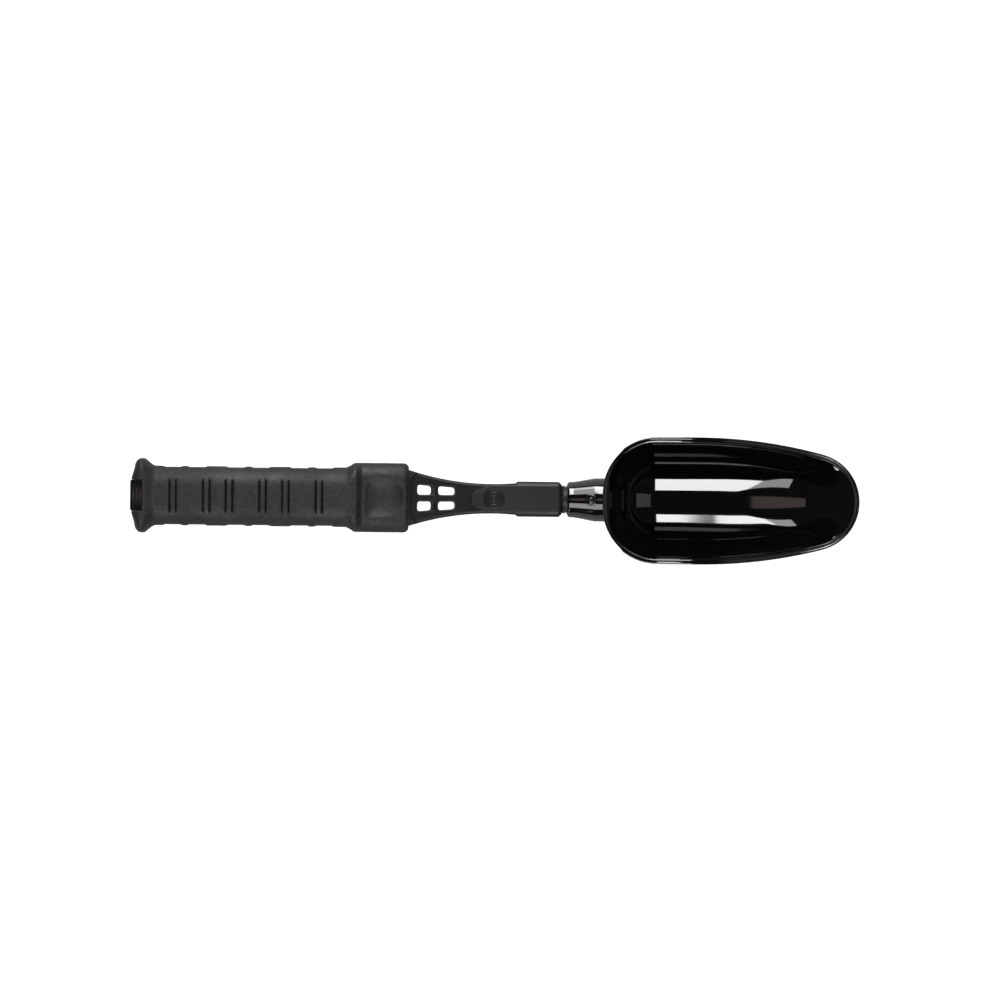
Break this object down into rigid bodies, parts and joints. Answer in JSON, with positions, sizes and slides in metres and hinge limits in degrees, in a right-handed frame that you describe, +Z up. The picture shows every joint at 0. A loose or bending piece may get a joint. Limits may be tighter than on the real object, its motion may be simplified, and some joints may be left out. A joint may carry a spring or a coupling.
{
  "type": "bait and sand scoop",
  "caption": "Hand scoop with a deep trough-shaped bowl that unscrews from a waisted neck and a rubber-covered grip with a thumb rest.",
  "frame": {"origin": "middle of the length, on the surface that the scoop rests on", "axes": "+X from the butt of the handle to the tip of the bowl, +Z up out of the bowl's open side, +Y to the left of the scoop"},
  "size_m": [0.4378, 0.0762, 0.041],
  "materials": {
    "gloss_shell": "polished",
    "stud_steel": "machined",
    "black_metal": "satin black",
    "washer_rubber": "smooth",
    "brass": "turned",
    "core_plastic": "satin, glass filled",
    "badge_plastic": "satin",
    "grip_rubber": "fine grain",
    "plug_plastic": "gloss"
  },
  "bodies": {
    "handle": {"handle_core": "core_plastic", "grip_sleeve": "grip_rubber", "butt_plug": "plug_plastic", "nose_insert": "brass", "badge_disc": "badge_plastic"},
    "washer": {"seal_washer": "washer_rubber"},
    "scoop": {"scoop_shell": "gloss_shell", "thread_stud": "stud_steel", "stud_collar": "black_metal"}
  },
  "joints": [
    {"name": "washer_slide", "type": "slide", "parent": "handle", "child": "washer", "axis": [1, 0, 0], "range_m": [0, 0.01143]},
    {"name": "scoop_unscrew", "type": "hinge", "parent": "washer", "child": "scoop", "pos_m": [0.04325, 0, 0.0184], "axis": [1, 0, 0], "range_deg": [0, 3240]}
  ],
  "couplings": [
    {"joint": "washer_slide", "follows": "scoop_unscrew", "m_per_rad": 0.00020213}
  ]
}
